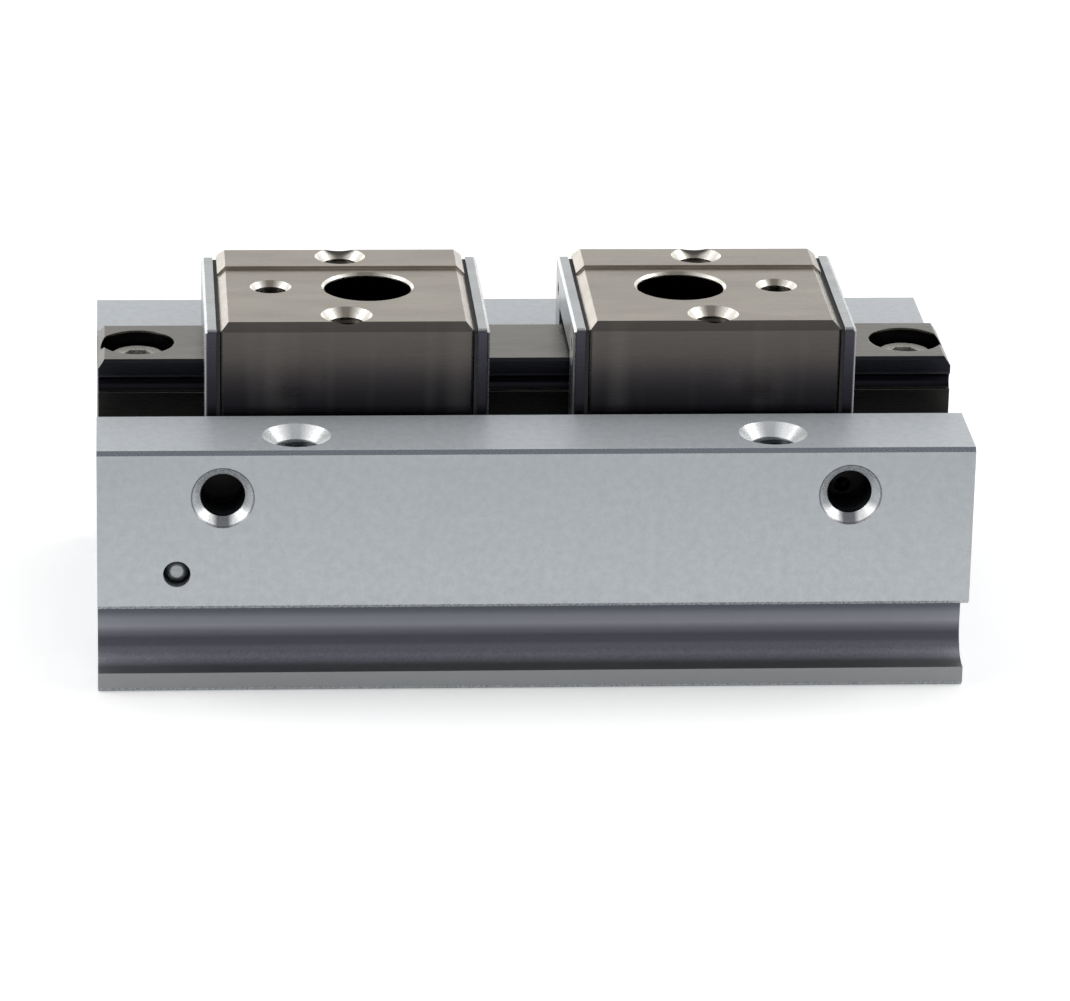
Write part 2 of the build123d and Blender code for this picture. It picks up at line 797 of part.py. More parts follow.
def plate_screws(side):
    # Four countersunk screws, two in each end plate, flush with its face
    face = block_length / 2 + seal_thickness + plate_thickness
    head_height = plate_screw_head_radius - plate_screw_radius
    with BuildPart() as piece:
        for end in SIDES:
            for y in (-plate_screw_y, plate_screw_y):
                head = Plane(origin=(side * finger_x + end * face, y, plate_screw_z), z_dir=(end, 0, 0))
                with BuildSketch(head):
                    Circle(plate_screw_head_radius)
                with BuildSketch(head.offset(-head_height)):
                    Circle(plate_screw_radius)
                loft()
                with BuildSketch(head.offset(-head_height)):
                    Circle(plate_screw_radius)
                extrude(amount=head_height - plate_screw_length)
                with BuildSketch(head):
                    RegularPolygon(plate_screw_socket / 2, 6, major_radius=False)
                extrude(amount=-plate_screw_socket_depth, mode=Mode.SUBTRACT)
    return piece


def bearing_balls(side):
    with BuildPart() as piece:
        for row_y in (-ball_y, ball_y):
            for number in range(balls_in_a_row):
                x = side * finger_x + (number - (balls_in_a_row - 1) / 2) * ball_pitch
                with Locations((x, row_y, ball_z)):
                    Sphere(ball_radius)
    return piece


def ball_retainers(side):
    # Strips above and below each ball row, which keep the balls in when the finger is off the rail
    with BuildPart() as piece:
        with BuildSketch(Plane.YZ.offset(side * finger_x)):
            strip_y = channel_half + seat_clearance + retainer_thickness / 2
            with Locations((-strip_y, ball_z), (strip_y, ball_z)):
                Rectangle(retainer_thickness, retainer_height)
            with Locations((-ball_y, ball_z), (ball_y, ball_z)):
                Circle(race_radius + running_clearance, mode=Mode.SUBTRACT)
        extrude(amount=block_length / 2 - running_clearance, both=True)
    return piece


def drive_pin(side):
    with BuildPart() as piece:
        with BuildSketch(Plane.XY.offset(bore_z - pin_below_axis + running_clearance)):
            with Locations((side * pin_x, side * bore_y)):
                Circle(pin_radius)
        extrude(amount=pin_top - bore_z + pin_below_axis - running_clearance)
    return piece


for side, name in SIDES.items():
    save(guide_block(side), f"{name}_guide_block")
    for end, place in ((side, "outer"), (-side, "inner")):
        save(end_plate(side, end), f"{name}_{place}_end_plate")
        save(end_seal(side, end), f"{name}_{place}_end_seal")
    save(plate_screws(side), f"{name}_end_plate_screws")
    save(bearing_balls(side), f"{name}_bearing_balls")
    save(ball_retainers(side), f"{name}_ball_retainers")
    save(drive_pin(side), f"{name}_drive_pin")
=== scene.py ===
# %% [markdown]
# A low gripper with two sliding fingers
#
# The real object is a small gripper that works with air. Two steel guide blocks are its fingers, and
# they slide along a rail that is screwed to a pale aluminium body. The CAD model already has every
# solid part at its true size, so this script dresses it: it gives each part the finish of the real one,
# adds the screw threads that the CAD model leaves plain, and sets up a small photo studio. The packed
# model is loaded first, and everything else is placed from its measures, in metres.

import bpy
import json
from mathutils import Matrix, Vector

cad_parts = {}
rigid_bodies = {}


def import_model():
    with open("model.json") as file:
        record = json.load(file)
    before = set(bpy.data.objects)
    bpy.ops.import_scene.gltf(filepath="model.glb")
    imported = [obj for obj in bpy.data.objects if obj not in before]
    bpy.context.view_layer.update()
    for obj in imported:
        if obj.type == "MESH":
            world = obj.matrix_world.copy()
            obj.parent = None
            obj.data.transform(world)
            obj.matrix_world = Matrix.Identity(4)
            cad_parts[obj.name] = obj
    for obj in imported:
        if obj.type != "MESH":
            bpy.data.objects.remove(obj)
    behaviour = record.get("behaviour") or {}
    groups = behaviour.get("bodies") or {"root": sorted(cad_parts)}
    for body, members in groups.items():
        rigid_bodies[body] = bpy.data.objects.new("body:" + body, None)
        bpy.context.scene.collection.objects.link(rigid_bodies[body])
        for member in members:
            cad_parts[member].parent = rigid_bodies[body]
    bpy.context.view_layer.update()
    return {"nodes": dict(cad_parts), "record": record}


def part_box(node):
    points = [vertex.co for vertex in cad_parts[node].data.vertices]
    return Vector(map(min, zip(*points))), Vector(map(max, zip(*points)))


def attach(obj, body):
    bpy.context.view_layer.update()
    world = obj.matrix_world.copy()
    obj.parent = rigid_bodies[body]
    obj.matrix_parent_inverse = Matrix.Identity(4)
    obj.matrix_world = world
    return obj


MILLIMETRE = 0.001


def in_millimetres(box):
    """The corners of a box in millimetres, rounded for printing."""
    return [[round(side / MILLIMETRE, 2) for side in corner] for corner in box]


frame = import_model()

# %% [markdown]
# The camera
#
# The photograph was taken with a long lens from a little over half a metre away, looking down at the
# long side of the body. A long lens keeps the edges nearly parallel. A camera could be aimed with a
# constraint, but this one was fitted to the corners of the body, the rail and the fingers, so it is
# built from its own three directions: where it looks, what is to its right, and what is down in the
# picture. The photograph is rolled a little too.

# %% Directions of the camera
import math

import bpy
from mathutils import Matrix, Vector

PITCH, YAW, ROLL = (math.radians(angle) for angle in (20.52, 4.50, -1.25))
ahead = Vector((math.sin(YAW) * math.cos(PITCH), math.cos(YAW) * math.cos(PITCH), -math.sin(PITCH)))
level_right = Vector((math.cos(YAW), -math.sin(YAW), 0.0))
level_down = ahead.cross(level_right)
right = math.cos(ROLL) * level_right + math.sin(ROLL) * level_down
down = -math.sin(ROLL) * level_right + math.cos(ROLL) * level_down
print("camera looks along", [round(value, 3) for value in ahead])

# %% Camera
AIM_ASIDE = 1.5 * MILLIMETRE
AIM_UNDER_MIDDLE = 1.05 * MILLIMETRE
DISTANCE = 553.0 * MILLIMETRE
LENS, SENSOR = 189.8, 36.0
NEAREST, FARTHEST = 0.05, 50.0
body_low, body_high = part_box("body")
target = Vector((AIM_ASIDE, 0.0, body_high.z / 2 - AIM_UNDER_MIDDLE))
eye = target - DISTANCE * ahead

bpy.ops.object.camera_add()
camera = bpy.context.object
camera.name = "studio_camera"
camera.data.lens, camera.data.sensor_width = LENS, SENSOR
camera.data.clip_start, camera.data.clip_end = NEAREST, FARTHEST
camera.matrix_world = Matrix.Translation(eye) @ Matrix((right, -down, -ahead)).transposed().to_4x4()
bpy.context.scene.camera = camera
print("camera in mm:", in_millimetres([eye])[0])

# %% [markdown]
# Colours and nodes
#
# Colours are noted as hex values, as they would be picked from a picture. Blender's shaders want linear
# light, so one function turns the one into the other. Another small function adds a node, fills in its
# settings and makes its links. Its inputs can be listed in the order of the sockets that show on the
# node, and a node stands for its first output, which keeps the recipes short enough to read.

# %% Colours and nodes


def linear(hex_colour):
    """The linear colour, with alpha, for a hex colour such as 8A8E8C."""
    channels = [int(hex_colour[start:start + 2], 16) / 255 for start in (0, 2, 4)]
    return [c / 12.92 if c <= 0.04045 else ((c + 0.055) / 1.055) ** 2.4 for c in channels] + [1.0]


def feed(tree, socket, value):
    """Give a socket a number or a hex colour, or link it to an output or to a node's first output."""
    if isinstance(value, bpy.types.Node):
        value = next(output for output in value.outputs if output.enabled)
    if isinstance(value, bpy.types.NodeSocket):
        tree.links.new(value, socket)
    else:
        socket.default_value = linear(value) if isinstance(value, str) else value


def add_node(tree, kind, inputs=(), **settings):
    """Add a node with its settings. inputs feeds its sockets, in order or by their names."""
    node = tree.nodes.new("ShaderNode" + kind)
    for name, value in settings.items():
        setattr(node, name, value)
    if isinstance(inputs, dict):
        fed = [(node.inputs[name], value) for name, value in inputs.items()]
    else:
        fed = zip([socket for socket in node.inputs if socket.enabled], inputs)
    for socket, value in fed:
        feed(tree, socket, value)
    return node


print("mid grey 808080 is", round(linear("808080")[0], 3), "in linear light")

# %% [markdown]
# Patterns in millimetres
#
# A finish is a chain of little steps, and the first is a pattern. It could be a picture wrapped round
# the part, but noise on the part's own coordinates needs no file and no unwrapping. It is stretched
# over a real size, one number or one for each direction, because a patch, a scratch or a bead mark can
# be measured on the real part. Where a face changes tone in bands, a ramp gives its colours by height.

# %% Patterns in millimetres
NOISE_ROUGHNESS = 0.55


def patches(tree, place, size_mm, low, high, strength=1.0, detail=3.0):
    """Patches about size_mm wide: 0 where the noise is low, rising to strength where it is high."""
    sizes = size_mm if isinstance(size_mm, tuple) else (size_mm,) * 3
    scale = [1 / (size * MILLIMETRE) for size in sizes]
    sized = add_node(tree, "Mapping", {"Vector": place, "Scale": scale})
    pattern = add_node(tree, "TexNoise", [sized, 1.0, detail, NOISE_ROUGHNESS])
    return add_node(tree, "MapRange", [pattern, low, high, 0.0, strength])


def shade_by_height(tree, height, shades):
    """Colours by height. shades lists heights in mm, the lowest first, each with its hex colour."""
    low, high = shades[0][0] * MILLIMETRE, shades[-1][0] * MILLIMETRE
    ramp = add_node(tree, "ValToRGB", [add_node(tree, "MapRange", [height, low, high])])
    stops = ramp.color_ramp.elements
    stops[0].color, stops[-1].color = linear(shades[0][1]), linear(shades[-1][1])
    for place_mm, shade in shades[1:-1]:
        stops.new((place_mm * MILLIMETRE - low) / (high - low)).color = linear(shade)
    return ramp


print("pattern tools:", patches.__name__, shade_by_height.__name__)

# %% [markdown]
# Places on a part
#
# Many finishes change at a place: a bore is dark, a cone is bright, a groove has bands. The faces could
# be split off with materials of their own, but then each edge between two finishes would be hard. Here
# a place is measured on the part itself, which no camera or lamp can change, and gives a share from 0
# to 1. The last function lays a colour over a finish where all its shares are high.

# %% Places on a part


def within(tree, length, low_mm, high_mm):
    """1 where a length lies between two others, given in mm, and 0 elsewhere."""
    above = add_node(tree, "Math", [length, low_mm * MILLIMETRE], operation="GREATER_THAN")
    below = add_node(tree, "Math", [length, high_mm * MILLIMETRE], operation="LESS_THAN")
    return add_node(tree, "Math", [above, below], operation="MULTIPLY")


def past_nearer(tree, coordinate, place):
    """How far a coordinate is outside the nearer of two places, which are at plus and minus place."""
    size = add_node(tree, "Math", [coordinate], operation="ABSOLUTE")
    return add_node(tree, "Math", [size, place], operation="SUBTRACT")


def from_axis(tree, *offsets):
    """How far a point is from an axis, given its two distances beside that axis."""
    return add_node(tree, "VectorMath", [add_node(tree, "CombineXYZ", offsets)], operation="LENGTH")


def lay_over(tree, socket, colour, first_share, *more_shares):
    """Lay a colour over what a socket shows, as strongly as all the shares multiplied."""
    share = first_share
    for other in more_shares:
        share = add_node(tree, "Math", [share, other], operation="MULTIPLY")
    shown = socket.links[0].from_socket
    feed(tree, socket, add_node(tree, "Mix", [share, shown, colour], data_type="RGBA"))


print("place tools:", [tool.__name__ for tool in (within, past_nearer, from_axis, lay_over)])

# %% [markdown]
# Which way a face looks
#
# Flat faces of a machined part look straight along X, Y or Z, and chamfers and the cones of
# countersinks don't. So the largest of the normal's three sizes is 1 on a flat face and less on a
# slanted one, and that tells them apart without marking a single face by hand.

# %% Which way a face looks
SLANT_STARTS, SLANT_FULL = 0.97, 0.85


def read_face(tree, coordinates):
    """A point's place and direction on the part, the direction's three sizes, and the face's slant."""
    place = add_node(tree, "SeparateXYZ", [coordinates["Object"]]).outputs
    direction = add_node(tree, "SeparateXYZ", [coordinates["Normal"]]).outputs
    sizes = [add_node(tree, "Math", [direction[axis]], operation="ABSOLUTE") for axis in "XYZ"]
    larger = add_node(tree, "Math", sizes[:2], operation="MAXIMUM")
    largest = add_node(tree, "Math", [larger, sizes[2]], operation="MAXIMUM")
    slanted = add_node(tree, "MapRange", [largest, SLANT_STARTS, SLANT_FULL])
    return place, direction, sizes, slanted


print("a face is slanted from", round(math.degrees(math.acos(SLANT_STARTS))), "degrees")

# %% [markdown]
# An empty finish
#
# Every finish starts the same way: a node material with one shader, and the coordinates that its
# patterns are measured in. These are the object's own, so a pattern keeps its place when the part
# moves.

# %% An empty finish


def new_finish(name):
    """An empty node material: the material, its tree, its coordinates and its shader's sockets."""
    finish = bpy.data.materials.new(name)
    finish.use_nodes = True
    tree = finish.node_tree
    tree.nodes.clear()
    shader = add_node(tree, "BsdfPrincipled")
    add_node(tree, "OutputMaterial", [shader])
    return finish, tree, add_node(tree, "TexCoord").outputs, shader.inputs


print("finishes are made by", new_finish.__name__)

# %% [markdown]
# Rubbed edges
#
# Handling rubs the edges of metal parts brighter. A mask for that could be painted, but the Bevel node
# finds the edges by itself: it rounds the normal near an edge, and how far that differs from the true
# normal says how near the edge is. The rounded normal also gives each sharp CAD edge a thin line of
# light.

# %% Rubbed edges
UNRUBBED, FULLY_RUBBED = 0.98, 0.85
BEVEL_SAMPLES = 4


def rubbed_edges(tree, width_mm):
    """How much an edge is rubbed, from 0 to 1, and the rounded normal there."""
    rounded = add_node(tree, "Bevel", [width_mm * MILLIMETRE], samples=BEVEL_SAMPLES)
    true = add_node(tree, "NewGeometry").outputs["True Normal"]
    alike = add_node(tree, "VectorMath", [rounded, true], operation="DOT_PRODUCT")
    return add_node(tree, "MapRange", [alike, UNRUBBED, FULLY_RUBBED]), rounded


print("an edge is fully rubbed at", round(math.degrees(math.acos(FULLY_RUBBED))), "degrees of rounding")

# %% [markdown]
# One recipe for a machined surface
#
# Every metal part here shows the same four things under a lens. Its tone drifts slowly in cloudy
# patches. Its grain follows the way it was ground, blasted or turned. Its edges are rubbed. And its
# holes and corners are darker: that is painted shade, a dark tone laid over them. Clouds and grain are
# patterns, with the grain stretched along the tool's path. The painted shade comes from the Ambient
# Occlusion node, which sees how shut in a place is by the part itself. One function holds the recipe,
# because the parts differ only in its numbers.

# %% A machined surface
CLOUD_RANGE, GRAIN_RANGE = (0.3, 0.7), (0.25, 0.75)
GRAIN_SHARE = 0.5
RUB_BY_CLOUD = (0.2, 0.8, 0.35, 1.0)
SHADE_REACH = 5.0 * MILLIMETRE
SHADE_SAMPLES = 6
SHADE_BY_OPENNESS = (0.12, 0.62, 1.0, 0.0)


def machined(name, tones, cloud_mm, grain_mm, roughness, depth_mm, edge=None, painted_recess_shade=None, place_of=None):
    """A metal surface. tones are its two hex colours, and edge is the colour and width in mm of its
    rubbed edges. The argument after edge is the hex colour of the painted shade in its recesses."""
    finish, tree, coordinates, sockets = new_finish(name)
    place = coordinates["Object"]
    clouds = patches(tree, place, cloud_mm, *CLOUD_RANGE)
    grain = patches(tree, place_of(tree, place) if place_of else place, grain_mm, *GRAIN_RANGE)
    tone = add_node(tree, "Mix", [GRAIN_SHARE, clouds, grain])
    feed(tree, sockets["Base Color"], add_node(tree, "Mix", [tone, *tones], data_type="RGBA"))
    bump = {"Height": grain, "Strength": 1.0, "Distance": depth_mm * MILLIMETRE}
    if edge:
        rubbed_tone, width_mm = edge
        rubbed, bump["Normal"] = rubbed_edges(tree, width_mm)
        uneven = add_node(tree, "MapRange", [clouds, *RUB_BY_CLOUD])
        lay_over(tree, sockets["Base Color"], rubbed_tone, rubbed, uneven)
    # Painted shade: a dark tone laid over holes and corners, where the part shuts them in.
    if painted_recess_shade:
        seen = add_node(tree, "AmbientOcclusion", samples=SHADE_SAMPLES, only_local=True)
        feed(tree, seen.inputs["Distance"], SHADE_REACH)
        shut_in = add_node(tree, "MapRange", [seen.outputs["AO"], *SHADE_BY_OPENNESS])
        lay_over(tree, sockets["Base Color"], painted_recess_shade, shut_in)
    feed(tree, sockets["Roughness"], add_node(tree, "MapRange", [grain, 0.0, 1.0, *roughness]))
    feed(tree, sockets["Normal"], add_node(tree, "Bump", bump))
    feed(tree, sockets["Metallic"], 1.0)
    return finish, tree, coordinates, sockets


print("film reaches", round(SHADE_REACH / MILLIMETRE), "mm from a corner")

# %% [markdown]
# Blasted, anodised aluminium
#
# The body is cut from aluminium bar, blasted with fine beads and hard anodised without dye. To the eye
# it is a cool, light grey, matte and slightly mottled, with no lines from a tool. Bead marks are about
# 0.2 mm wide, so the grain is about that fine in every direction, and the clouds of tone are under a
# millimetre. The oxide scatters light, so the surface is only partly metallic, which keeps it pale from
# every side.

# %% Aluminium of the body
METALLIC_UNDER_OXIDE = 0.45
aluminium, tree, coordinates, sockets = machined(
    "anodised_aluminium_blasted",
    tones=("A7ACB0", "BDC1C5"),
    cloud_mm=0.8,
    grain_mm=0.25,
    roughness=(0.4, 0.55),
    depth_mm=0.004,
    edge=("C8CCCF", 0.08),
    # Painted shade in the body's holes and corners, nearly black.
    painted_recess_shade="08080A",
)
feed(tree, sockets["Metallic"], METALLIC_UNDER_OXIDE)
body_colour = sockets["Base Color"]
position, _, facing, slanted = read_face(tree, coordinates)
aside = add_node(tree, "Math", [position["Y"]], operation="ABSOLUTE")
print("body finish:", aluminium.name)

# %% [markdown]
# Countersinks, cut bright and with a painted highlight
#
# The countersinks of the ledge holes and ports are cut after anodising, so they are bare metal with no
# bead marks: smoother than the rest, without its bump. Their light tone is partly that bare metal and
# partly a painted highlight: those on the ledges are whitest where they look along the body, towards
# the side lamps. All of that follows the slant of the face, so one rule finds every countersink.

# %% Countersinks
COUNTERSINK_TONE_AND_HIGHLIGHT = ("B4B7BA", "F2F4F5")
COUNTERSINK_HEIGHTS = (23.5, 24.79)
ALONG_STARTS, ALONG_FULL = 0.1, 0.35
SMOOTHER_BY = 0.2
# Painted highlight: whiter where the cone looks along the body, towards the side lamps.
looks_along = add_node(tree, "MapRange", [facing[0], ALONG_STARTS, ALONG_FULL])
cone_tone_and_highlight = add_node(tree, "Mix", [looks_along, *COUNTERSINK_TONE_AND_HIGHLIGHT], data_type="RGBA")
lay_over(tree, body_colour, cone_tone_and_highlight, slanted, within(tree, position["Z"], *COUNTERSINK_HEIGHTS))

rough = sockets["Roughness"].links[0].from_socket
smoother = add_node(tree, "Math", [slanted, -SMOOTHER_BY, rough], operation="MULTIPLY_ADD")
feed(tree, sockets["Roughness"], smoother)
bump = sockets["Normal"].links[0].from_node
feed(tree, bump.inputs["Strength"], add_node(tree, "Math", [1.0, slanted], operation="SUBTRACT"))
print("countersinks are smoother by", SMOOTHER_BY)

# %% [markdown]
# Long faces and chamfers
#
# The front face is a little greyer towards its top, and the small chamfer above it shows as a dark
# line. Soft studio light alone doesn't show either as clearly as the photograph does, so both are
# painted shade, tones laid on by place. The chamfer is slanted too and at the countersinks' height, so
# it gets its painted shade after them, and keeps their smoothness.

# %% Long faces and chamfers
FACE_SHADE, FACE_SHARE = "868C90", 0.3
FACE_FADE = [height_mm * MILLIMETRE for height_mm in (11.0, 23.0)]
LOOKS_ASIDE = 0.9
CHAMFER_SHADE, CHAMFER_HEIGHTS, CHAMFER_ASIDE = "6C7078", (24.4, 24.79), (22.1, 22.49)

# Painted shade: the front face greyer towards its top, and the chamfer a dark line.
upright = add_node(tree, "Math", [facing[1], LOOKS_ASIDE], operation="GREATER_THAN")
greyer = add_node(tree, "MapRange", [position["Z"], *FACE_FADE, 0.0, FACE_SHARE])
lay_over(tree, body_colour, FACE_SHADE, upright, greyer)
at_height = within(tree, position["Z"], *CHAMFER_HEIGHTS)
lay_over(tree, body_colour, CHAMFER_SHADE, at_height, within(tree, aside, *CHAMFER_ASIDE))
print("face tone fades in over", round((FACE_FADE[1] - FACE_FADE[0]) / MILLIMETRE), "mm")

# %% [markdown]
# Air ports
#
# A port's cone has a painted highlight at its lower left and lower right, and goes grey between them.
# Its bore is painted black, as shade, because it leads deep into the body, and a thin dark line runs
# round its rim. All three are found by the distance from the port's axis, which works for both ports at
# once.

# %% Air ports
PORT_ASIDE, PORT_UP = 29.5 * MILLIMETRE, 20.2 * MILLIMETRE
CONE_HIGHLIGHT_TONES = ("74767A", "F6F7F8")
CONE_LOW = (-0.9 * MILLIMETRE, -1.7 * MILLIMETRE)
CONE_OFF_CENTRE = (0.5 * MILLIMETRE, 1.0 * MILLIMETRE)
# A reach is a distance from the port's axis, and a place is along Y, both in mm.
CONE_REACH = (0.0, 3.2)
BORE_REACH, BORE_PLACE = (0.0, 2.3), (-21.62, -15.0)
RIM_REACH, RIM_PLACE, RIM_SHARE = (2.84, 3.0), (-22.6, -22.0), 0.7
PORT_SHADE, RIM_TONE = "050506", "54575C"

sideways = past_nearer(tree, position["X"], PORT_ASIDE)
upwards = add_node(tree, "Math", [position["Z"], PORT_UP], operation="SUBTRACT")
from_port = from_axis(tree, sideways, upwards)
low_down = add_node(tree, "MapRange", [upwards, *CONE_LOW])
off_centre = add_node(tree, "Math", [sideways], operation="ABSOLUTE")
off_centre = add_node(tree, "MapRange", [off_centre, *CONE_OFF_CENTRE])
# Painted highlight on the cone, at its lower left and lower right.
lit = add_node(tree, "Mix", [off_centre, *CONE_HIGHLIGHT_TONES], data_type="RGBA")
lay_over(tree, body_colour, lit, low_down, slanted, within(tree, from_port, *CONE_REACH))
# Painted shade in the bore, and the thin dark line round the rim.
for tone, share, reach, place in (
    (PORT_SHADE, 1.0, BORE_REACH, BORE_PLACE),
    (RIM_TONE, RIM_SHARE, RIM_REACH, RIM_PLACE),
):
    at_depth = within(tree, position["Y"], *place)
    lay_over(tree, body_colour, tone, within(tree, from_port, *reach), at_depth, share)
print("ports in mm, aside and up:", in_millimetres([(PORT_ASIDE, PORT_UP)])[0])

# %% [markdown]
# Sensor grooves
#
# The walls of the two grooves are darker than the blasted faces, with broad bands along the body, each
# at its own height: painted reflection and shade. The lip below them is darkened too, as painted shade.
# They could be modelled as steps, but they are only changes of tone, so a ramp by height draws them.
# They show on the walls of the groove and not on the cut ends of the body.

# %% Sensor grooves
GROOVE_SHADES = [
    (1.8, "5A5C5E"), (2.05, "5A5C5E"), (2.3, "84858E"), (2.6, "8C8C96"), (3.0, "6A6A74"),
    (3.6, "42424C"), (4.2, "42434C"), (4.8, "66676F"), (5.4, "8A8B94"), (6.2, "7E8088"),
    (6.8, "5C5F68"), (8.95, "2C2E34"),
]
GROOVE_HEIGHTS, GROOVE_ASIDE = (1.8, 8.95), (17.3, 20.75)
LIP_SHADE, LIP_HEIGHTS, LIP_ASIDE = "8C8E90", (-1.0, 2.0), (20.76, 21.0)
LOOKS_ALONG = 0.5

drawn = add_node(tree, "Math", [facing[0], LOOKS_ALONG], operation="LESS_THAN")
# Painted reflection and shade: bands of tone by height on the groove walls, and a darker lip.
painted_groove_bands = shade_by_height(tree, position["Z"], GROOVE_SHADES)
for tone, heights, places in (
    (painted_groove_bands, GROOVE_HEIGHTS, GROOVE_ASIDE),
    (LIP_SHADE, LIP_HEIGHTS, LIP_ASIDE),
):
    at_height = within(tree, position["Z"], *heights)
    lay_over(tree, body_colour, tone, at_height, within(tree, aside, *places), drawn)
finishes = {"body_aluminium": aluminium}
print("die lines:", len(GROOVE_SHADES))

# %% [markdown]
# Dark sides and dark bores of the steel
#
# The outer upright faces of the fingers and the rail are much darker than their tops, and get darker
# still towards the rail: that is painted reflection and shade, with soft upright streaks where the
# polish changes. The edges of the stamped end plates get the same painted shade. The fingers' access
# holes and the rail's counterbores are bored, not ground, and their walls are painted nearly black, as
# shade. All of it goes by height, direction and distance on the part, so it moves with the finger.

# %% Dark sides and dark bores
STREAK_TONE, STREAK_SIZE, STREAK_RANGE = "6E6A66", (2.6, 60.0, 60.0), (0.5, 0.8)
LEVEL_ENDS, LEVEL_FULL = 0.75, 0.9
ASIDE_STARTS, ASIDE_FULL = 0.45, 0.6
BORE_SHADE = "121114"


def paint_side_shade(tree, coordinates, colour, sides, outside_mm, streak):
    """Painted reflection and shade on outer upright faces. sides: heights in mm with hex colours."""
    place, direction, sizes, _ = read_face(tree, coordinates)
    streaks = patches(tree, coordinates["Object"], STREAK_SIZE, *STREAK_RANGE, streak, detail=1.0)
    shades = shade_by_height(tree, place["Z"], sides)
    shades = add_node(tree, "Mix", [streaks, shades, STREAK_TONE], data_type="RGBA")
    not_level = add_node(tree, "MapRange", [direction["Z"], LEVEL_ENDS, LEVEL_FULL, 1.0, 0.0])
    looks_aside = add_node(tree, "MapRange", [sizes[1], ASIDE_STARTS, ASIDE_FULL])
    aside = add_node(tree, "Math", [place["Y"]], operation="ABSOLUTE")
    outside = add_node(tree, "MapRange", [aside, *(side * MILLIMETRE for side in outside_mm)])
    # Painted reflection and shade on the outer upright faces, darker towards the rail.
    lay_over(tree, colour, shades, not_level, looks_aside, outside)


def paint_bore_shade(tree, place, colour, middles_mm, reach_mm, heights_mm):
    """Painted shade in pairs of upright bores, at plus and minus their middles along the part."""
    for middle_mm in middles_mm:
        off_bore = past_nearer(tree, place["X"], middle_mm * MILLIMETRE)
        in_bore = within(tree, from_axis(tree, off_bore, place["Y"]), 0.0, reach_mm)
        # Painted shade: the bore's wall nearly black.
        lay_over(tree, colour, BORE_SHADE, in_bore, within(tree, place["Z"], *heights_mm))


print("dark bores are", BORE_SHADE)

# %% [markdown]
# Ground steel
#
# The guide blocks are hardened stainless steel, and the rail is bearing steel. Both are ground, which
# leaves scratches along the part, in X, and gives the eye a fine, silky grain. Real scratches are about
# 0.01 mm wide, too fine to show, so they are drawn 0.08 mm wide. The countersinks in the fingers' tops
# are cut bright, like those of the body, with the same painted highlight where they look along the
# part. The recipe is the machined one, with these tones and the painted shade of sides and bores laid
# over it.

# %% Ground steel
CUT_TONES_AND_HIGHLIGHT, CUT_HEIGHTS, CUT_REACH = ("8E887E", "E8E4DC"), (32.0, 33.79), (-1.0, 11.2)
block_low, block_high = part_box("right_guide_block")
BLOCK_MIDDLE = (block_low.x + block_high.x) / 2


def ground_steel(name, tones, rubbed, sides, outside_mm, streak=0.0, bores=None):
    """Ground steel with bright countersinks, painted highlight on them and painted shade on its sides.
    bores says which bores get painted shade, if any.
    """
    finish, tree, coordinates, sockets = machined(
        name,
        tones=tones,
        cloud_mm=(9.0, 2.5, 2.5),
        grain_mm=(3.0, 0.08, 0.08),
        roughness=(0.2, 0.38),
        depth_mm=0.0015,
        edge=(rubbed, 0.08),
        # Painted shade in the steel's holes and corners.
        painted_recess_shade="0C0B0B",
    )
    colour = sockets["Base Color"]
    place, _, sizes, slanted = read_face(tree, coordinates)
    off_middle = past_nearer(tree, place["X"], BLOCK_MIDDLE)
    off_middle = add_node(tree, "Math", [off_middle], operation="ABSOLUTE")
    # Painted highlight: the cut cones are lighter where they look along the part, towards the side
    # lamps.
    looks_along = add_node(tree, "MapRange", [sizes[0], ALONG_STARTS, ALONG_FULL])
    cut_tone_and_highlight = add_node(tree, "Mix", [looks_along, *CUT_TONES_AND_HIGHLIGHT], data_type="RGBA")
    on_block = within(tree, off_middle, *CUT_REACH)
    lay_over(tree, colour, cut_tone_and_highlight, slanted, within(tree, place["Z"], *CUT_HEIGHTS), on_block)
    paint_side_shade(tree, coordinates, colour, sides, outside_mm, streak)
    if bores:
        paint_bore_shade(tree, place, colour, **bores)
    return finish


print("middle of a finger at", round(BLOCK_MIDDLE / MILLIMETRE, 2), "mm")

# %% [markdown]
# Guide blocks, rail and end plates
#
# The three steel parts that show take the same recipe with their own numbers. The blocks are warm and
# have streaks, the rail is darker and less warm, and the plates are stamped from bright, cool strip.
# The heights of the painted shade and reflection on the sides come from the real object: on the rail
# they follow the ball groove, where a lighter band is a painted reflection.

# %% Guide blocks, rail and end plates
INNER_BORES, OUTER_BORES = 15.15, 37.3
